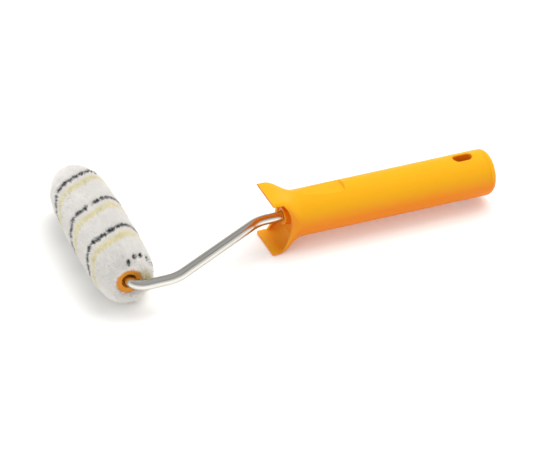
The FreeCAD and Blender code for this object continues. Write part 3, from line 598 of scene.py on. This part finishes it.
def yarn_material(name, colour, deep, blotch_mm):
    """Soft cut yarn: dull, with a faint sheen, and deeper in tone in some places."""
    material, tree, shader, place = start_material(name, {
        "Roughness": 0.85, "Sheen Weight": 0.4, "Sheen Roughness": 0.5,
        "Specular IOR Level": 0.2})
    patches = add_node(tree, "ShaderNodeTexNoise", inputs={
        "Vector": place, "Scale": noise_at(blotch_mm), "Detail": 4.0, "Roughness": 0.6})
    tone = add_node(tree, "ShaderNodeMapRange", inputs={
        "Value": patches.outputs["Fac"], "From Min": 0.35, "From Max": 0.65})
    mixed = add_node(tree, "ShaderNodeMix", {"data_type": "RGBA"}, {
        "Factor": tone.outputs["Result"],
        "A": rgba([c * deep for c in colour[:3]]), "B": rgba(colour)})
    tree.links.new(mixed.outputs["Result"], shader.inputs["Base Color"])
    return material


class PAINTROLLER_OT_pile(bpy.types.Operator):
    """Replaces the plain pile by a rooted body and tufts of white, yellow and dark yarn"""
    bl_idname = "paintroller.pile"
    bl_label = "Grow the pile"

    def execute(self, context):
        look = context.scene.roller_pile
        verts, faces, dark, yellow, rows = pile_carrier(look)

        # Closed body under the tufts: the carrier, shut along the knitted backing.
        turn = ROUND_STEPS
        first, last = len(verts), len(verts) + turn
        inner = []
        for i in (0, (rows - 1) * turn):
            for j in range(turn):
                x, y, z = verts[i + j]
                out = Vector((x - AXIS_X, 0, z - AXIS_Z)).normalized() * BACKING_RADIUS * MM
                inner.append((AXIS_X + out.x, y, AXIS_Z + out.z))
        shut = []
        for j in range(turn):
            k = (j + 1) % turn
            shut.append((first + j, first + k, k, j))
            shut.append(((rows - 1) * turn + j, (rows - 1) * turn + k, last + k, last + j))
            shut.append((last + j, last + k, first + k, first + j))
        body = mesh_object("pile_body", verts + inner, faces + shut)
        tint = body.data.color_attributes.new("yarn", "FLOAT_COLOR", "POINT")
        white = np.array(look.white[:])
        shade = (1 - dark - yellow)[:, None] * white
        shade = shade + dark[:, None] * np.array(look.dark[:])
        shade = shade + yellow[:, None] * np.array(look.yellow[:])
        shade = np.concatenate([shade, np.tile(white, (2 * turn, 1))])
        shade = np.column_stack([shade, np.ones(len(shade))])
        tint.data.foreach_set("color", shade.astype(np.float32).ravel())
        body.data.shade_smooth()
        # Packed feet of the yarns: the tufts' own colours, with painted shade between the
        # feet.
        material, tree, shader, place = start_material("polyamide_pile_packed", {
            "Roughness": 0.9, "Specular IOR Level": 0.2})
        dyed = add_node(tree, "ShaderNodeVertexColor", {"layer_name": "yarn"})
        feet = add_node(tree, "ShaderNodeTexVoronoi", inputs={
            "Vector": place, "Scale": noise_at(FEET_SPACING)})
        # Painted shade: the yarn colour darkens to 0.8 of itself between the feet.
        painted_shade = add_node(tree, "ShaderNodeMapRange", inputs={
            "Value": feet.outputs["Distance"], "To Min": 1.0, "To Max": 0.8})
        yarn_with_painted_shade = add_node(tree, "ShaderNodeVectorMath", {"operation": "SCALE"}, {
            0: dyed.outputs["Color"], "Scale": painted_shade.outputs["Result"]})
        tree.links.new(yarn_with_painted_shade.outputs["Vector"], shader.inputs["Base Color"])
        bump = add_node(tree, "ShaderNodeBump", inputs={
            "Height": feet.outputs["Distance"], "Strength": 0.6,
            "Distance": FEET_DEPTH * MM})
        tree.links.new(bump.outputs["Normal"], shader.inputs["Normal"])
        body.data.materials.append(material)
        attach(body, "sleeve")
        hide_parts("pile_sleeve")

        values = {
            "Length": look.tuft_length, "Width": look.tuft_width,
            "Spacing": look.tuft_spacing, "Tilt": look.tuft_tilt, "Seed": look.seed}
        # Cut polyamide yarn, undyed: soft white, a shade deeper in some places. The marker
        # yarns are the same fibre, dyed. Each row is the tufts' name, their share, colour,
        # deepest tone against it, size of its patches, and spacing against the white's.
        yarns = (
            ("pile_tufts_white", 1 - dark - yellow, look.white, 0.97, 5.0, 1.0),
            ("pile_tufts_yellow", yellow, look.yellow, 0.86, 7.0, 1.0),
            ("pile_tufts_dark", dark, look.dark, 0.6, 1.5, 0.8))
        for i, (name, share, colour, deep, blotch, spacing) in enumerate(yarns):
            material = yarn_material(
                "polyamide_cut_" + name.split("_")[-1], colour, deep, blotch)
            tufts = plant(name, verts, faces, share, material, {
                **values, "Spacing": look.tuft_spacing * spacing, "Seed": look.seed + i})
            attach(tufts, "sleeve")
        # Single fibres that stand proud and blur the outline, the stripes and the mouth.
        loose = plant(
            "pile_fibres_loose", verts, faces, np.ones_like(dark),
            yarn_material("polyamide_loose_fibres", look.white, deep=0.97, blotch_mm=5.0), {
                "Length": look.fibre_length, "Width": look.fibre_width,
                "Spacing": look.fibre_spacing, "Tilt": look.fibre_tilt,
                "Seed": look.seed + len(yarns)})
        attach(loose, "sleeve")
        # Knitted polyester backing: dull greyish loops, seen only where the pile parts.
        knit, tree, shader, place = start_material("polyester_knit_backing", {
            "Roughness": 0.9, "Base Color": rgba(linear("D6D1C4"))})
        loops = add_node(tree, "ShaderNodeTexVoronoi", inputs={
            "Vector": place, "Scale": noise_at(KNIT_LOOP)})
        bump = add_node(tree, "ShaderNodeBump", inputs={
            "Height": loops.outputs["Distance"], "Strength": 0.5,
            "Distance": KNIT_DEPTH * MM})
        tree.links.new(bump.outputs["Normal"], shader.inputs["Normal"])
        dress(["fabric_backing"], knit)
        return {"FINISHED"}


# ------------------------------------------------------------------ stage

# Metres here: the floor's half side, and where each softbox hangs and its two sides.
FLOOR_SIDE = 4.0
KEY_PLACE, KEY_SIZE = (0.45, 0.35, 1.15), (1.4, 1.1)
FILL_PLACE, FILL_SIZE = (-0.9, -0.7, 0.7), (0.7, 0.5)
CLIP_NEAR, CLIP_FAR = 0.05, 20.0

FLOOR_CLOUD = 300    # size of the board's clouds
CLOUD_TONE = 0.985   # their brightness against the board's
CAMERA_AIM = (-13.63, -28.75)   # its height is that of the sleeve's axis
SENSOR_WIDTH = 36.0

# What the wire mirrors, from the horizon up: the height of each step, 1 being straight
# up, and its colour against the room's.
WALL_TOP, WALL = 0.42, (1.15, 1.15, 1.15)
STRIP_HEIGHT, STRIP = 0.52, (0.3, 0.3, 0.31)
CEILING_EDGE, CEILING = 0.75, (0.68, 0.68, 0.69)


def softbox(name, place, size, power):
    """A rectangular light that faces the roller, lights it and doesn't glare in it."""
    data = bpy.data.lights.new(name, "AREA")
    data.shape = "RECTANGLE"
    data.size, data.size_y = size
    data.energy = power
    lamp = link_object(name, data)
    lamp.location = place
    lamp.rotation_euler = (-Vector(place)).to_track_quat("-Z", "Y").to_euler()
    lamp.visible_glossy = False


class PAINTROLLER_OT_stage(bpy.types.Operator):
    """Adds the pale floor, the softboxes, the room's light and the camera"""
    bl_idname = "paintroller.stage"
    bl_label = "Set the stage"

    def execute(self, context):
        look = context.scene.roller_stage
        scene = context.scene
        side = FLOOR_SIDE
        floor = mesh_object("floor", [
            (-side, -side, 0), (side, -side, 0), (side, side, 0), (-side, side, 0)],
            [(0, 1, 2, 3)])
        # Matt pale board with the faintest cloudiness, lit through a little from below
        # like a studio table, which keeps the shadow light.
        material, tree, shader, place = start_material("matt_pale_board", {
            "Roughness": 0.9, "Specular IOR Level": 0.2,
            "Emission Color": rgba((1.0, 1.0, 1.0)), "Emission Strength": look.floor_glow})
        cloud = add_node(tree, "ShaderNodeTexNoise", inputs={
            "Vector": place, "Scale": noise_at(FLOOR_CLOUD), "Detail": 2.0})
        tone = add_node(tree, "ShaderNodeMix", {"data_type": "RGBA"}, {
            "Factor": cloud.outputs["Fac"],
            "A": rgba([c * CLOUD_TONE for c in look.floor_colour]),
            "B": rgba(look.floor_colour)})
        tree.links.new(tone.outputs["Result"], shader.inputs["Base Color"])
        floor.data.materials.append(material)

        softbox("key_softbox", KEY_PLACE, KEY_SIZE, look.key_power)
        softbox("fill_softbox", FILL_PLACE, FILL_SIZE, look.fill_power)

        world = bpy.data.worlds.new("pale_room")
        scene.world = world
        world.use_nodes = True
        tree = world.node_tree
        tree.nodes.clear()
        # The room that lights the roller is even. Glossy surfaces mirror another one, with
        # bright walls, a dim ceiling and a darker strip between them, so that the wire has
        # a bright band and a grey one.
        way = add_node(tree, "ShaderNodeTexCoord").outputs["Generated"]
        height = add_node(tree, "ShaderNodeSeparateXYZ", inputs={"Vector": way})
        mirrored = add_node(tree, "ShaderNodeValToRGB", inputs={"Fac": height.outputs["Z"]})
        steps = mirrored.color_ramp.elements
        steps[0].position, steps[0].color = WALL_TOP, rgba(WALL)
        steps[1].position, steps[1].color = CEILING_EDGE, rgba(CEILING)
        steps.new(STRIP_HEIGHT).color = rgba(STRIP)
        room = add_node(tree, "ShaderNodeMix", {"data_type": "RGBA"}, {
            "Factor": add_node(tree, "ShaderNodeLightPath").outputs["Is Glossy Ray"],
            "A": rgba((1.0, 1.0, 1.0)), "B": mirrored.outputs["Color"]})
        light = add_node(tree, "ShaderNodeBackground", inputs={
            "Color": room.outputs["Result"], "Strength": look.sky})
        add_node(tree, "ShaderNodeOutputWorld", inputs={
            "Surface": light.outputs["Background"]})
        scene.view_settings.view_transform = "Standard"

        a, e = look.azimuth, look.elevation
        back = Vector((math.sin(a) * math.cos(e), -math.cos(a) * math.cos(e), math.sin(e)))
        right = Vector((math.cos(a), math.sin(a), 0))
        up = back.cross(right)
        c, s = math.cos(look.roll), math.sin(look.roll)
        right, up = right * c - up * s, right * s + up * c
        aim = Vector((CAMERA_AIM[0] * MM, CAMERA_AIM[1] * MM, AXIS_Z))
        camera_data = bpy.data.cameras.new("camera")
        camera_data.lens = look.lens
        camera_data.sensor_width = SENSOR_WIDTH
        camera_data.clip_start, camera_data.clip_end = CLIP_NEAR, CLIP_FAR
        camera = link_object("camera", camera_data)
        turn = Matrix((right, up, back)).transposed().to_4x4()
        camera.matrix_world = Matrix.Translation(aim + back * look.distance) @ turn
        scene.camera = camera
        return {"FINISHED"}


# ------------------------------------------------------------------ panel and running

class PAINTROLLER_PT_panel(bpy.types.Panel):
    """Lists the roller's settings and the steps that make it"""
    bl_idname = "PAINTROLLER_PT_panel"
    bl_label = "Paint Roller"
    bl_space_type = "VIEW_3D"
    bl_region_type = "UI"
    bl_category = "Paint Roller"

    def draw(self, context):
        for group, operator in GROUPS:
            box = self.layout.box()
            settings = getattr(context.scene, group)
            for name in settings.__class__.__annotations__:
                box.prop(settings, name)
            box.operator(operator)


GROUPS = (
    ("roller_wire", "paintroller.wire"),
    ("roller_plastic", "paintroller.mouldings"),
    ("roller_pile", "paintroller.pile"),
    ("roller_stage", "paintroller.stage"),
)
SETTINGS = {
    "roller_wire": WireSettings,
    "roller_plastic": PlasticSettings,
    "roller_pile": PileSettings,
    "roller_stage": StageSettings,
}
CLASSES = (
    *SETTINGS.values(), PAINTROLLER_OT_wire, PAINTROLLER_OT_mouldings,
    PAINTROLLER_OT_pile, PAINTROLLER_OT_stage, PAINTROLLER_PT_panel)


def register():
    for item in CLASSES:
        bpy.utils.register_class(item)
    for name, settings in SETTINGS.items():
        setattr(bpy.types.Scene, name, PointerProperty(type=settings))


def unregister():
    for name in SETTINGS:
        delattr(bpy.types.Scene, name)
    for item in reversed(CLASSES):
        bpy.utils.unregister_class(item)


def main():
    register()
    bpy.ops.paintroller.wire()
    bpy.ops.paintroller.mouldings()
    bpy.ops.paintroller.pile()
    bpy.ops.paintroller.stage()


if __name__ == "__main__":
    main()
